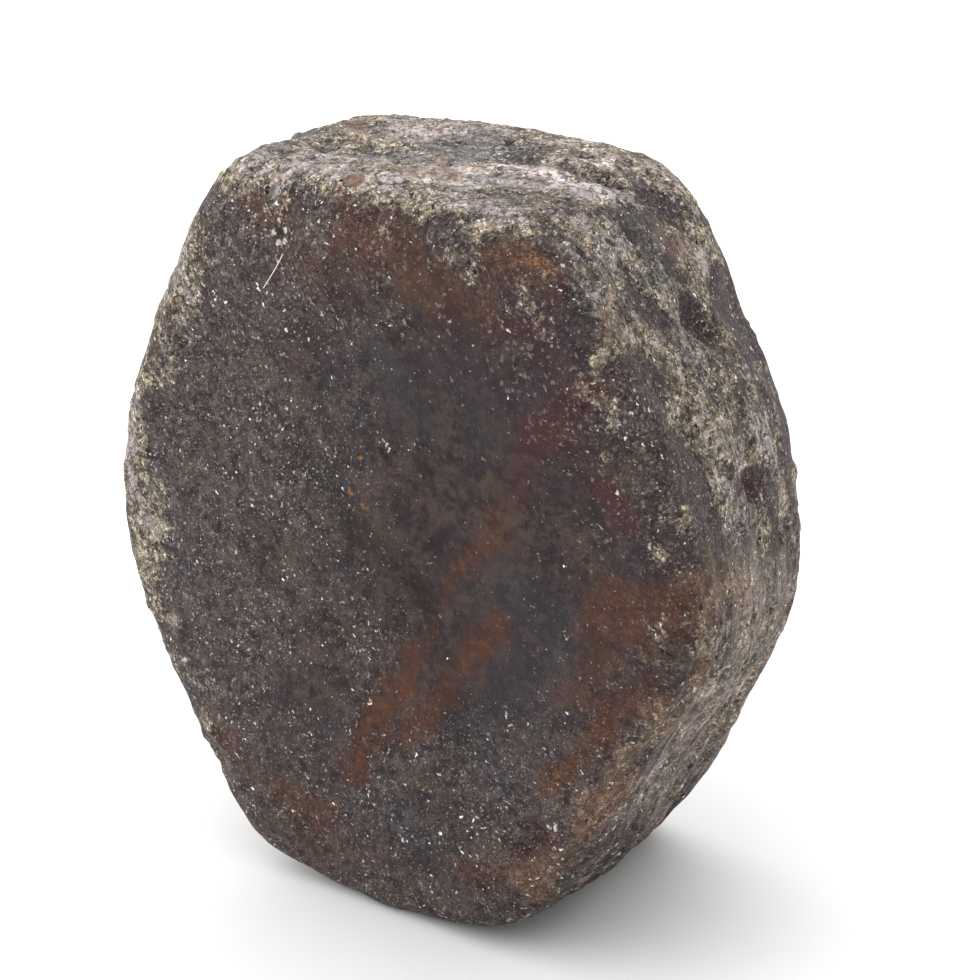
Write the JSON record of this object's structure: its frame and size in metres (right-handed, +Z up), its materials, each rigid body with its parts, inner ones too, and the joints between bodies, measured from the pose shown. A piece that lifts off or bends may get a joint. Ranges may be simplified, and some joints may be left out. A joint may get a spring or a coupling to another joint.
{
  "type": "ruby crystal",
  "caption": "Worn, opaque six-sided ruby crystal, a short prism that stands on one of its prism faces.",
  "frame": {"origin": "on the ground, under the middle of the crystal's bounding box", "axes": "+Z up, the crystal's own axis along Y, its front basal face looking to -Y, +X to the right of that face"},
  "size_m": [0.0256, 0.0141, 0.0278],
  "materials": {
    "ruby": "worn, waxy, dark purplish brown corundum with rust streaks, sandy crust and fine sparkles"
  },
  "bodies": {
    "root": {"ruby_crystal": "ruby"}
  },
  "joints": []
}
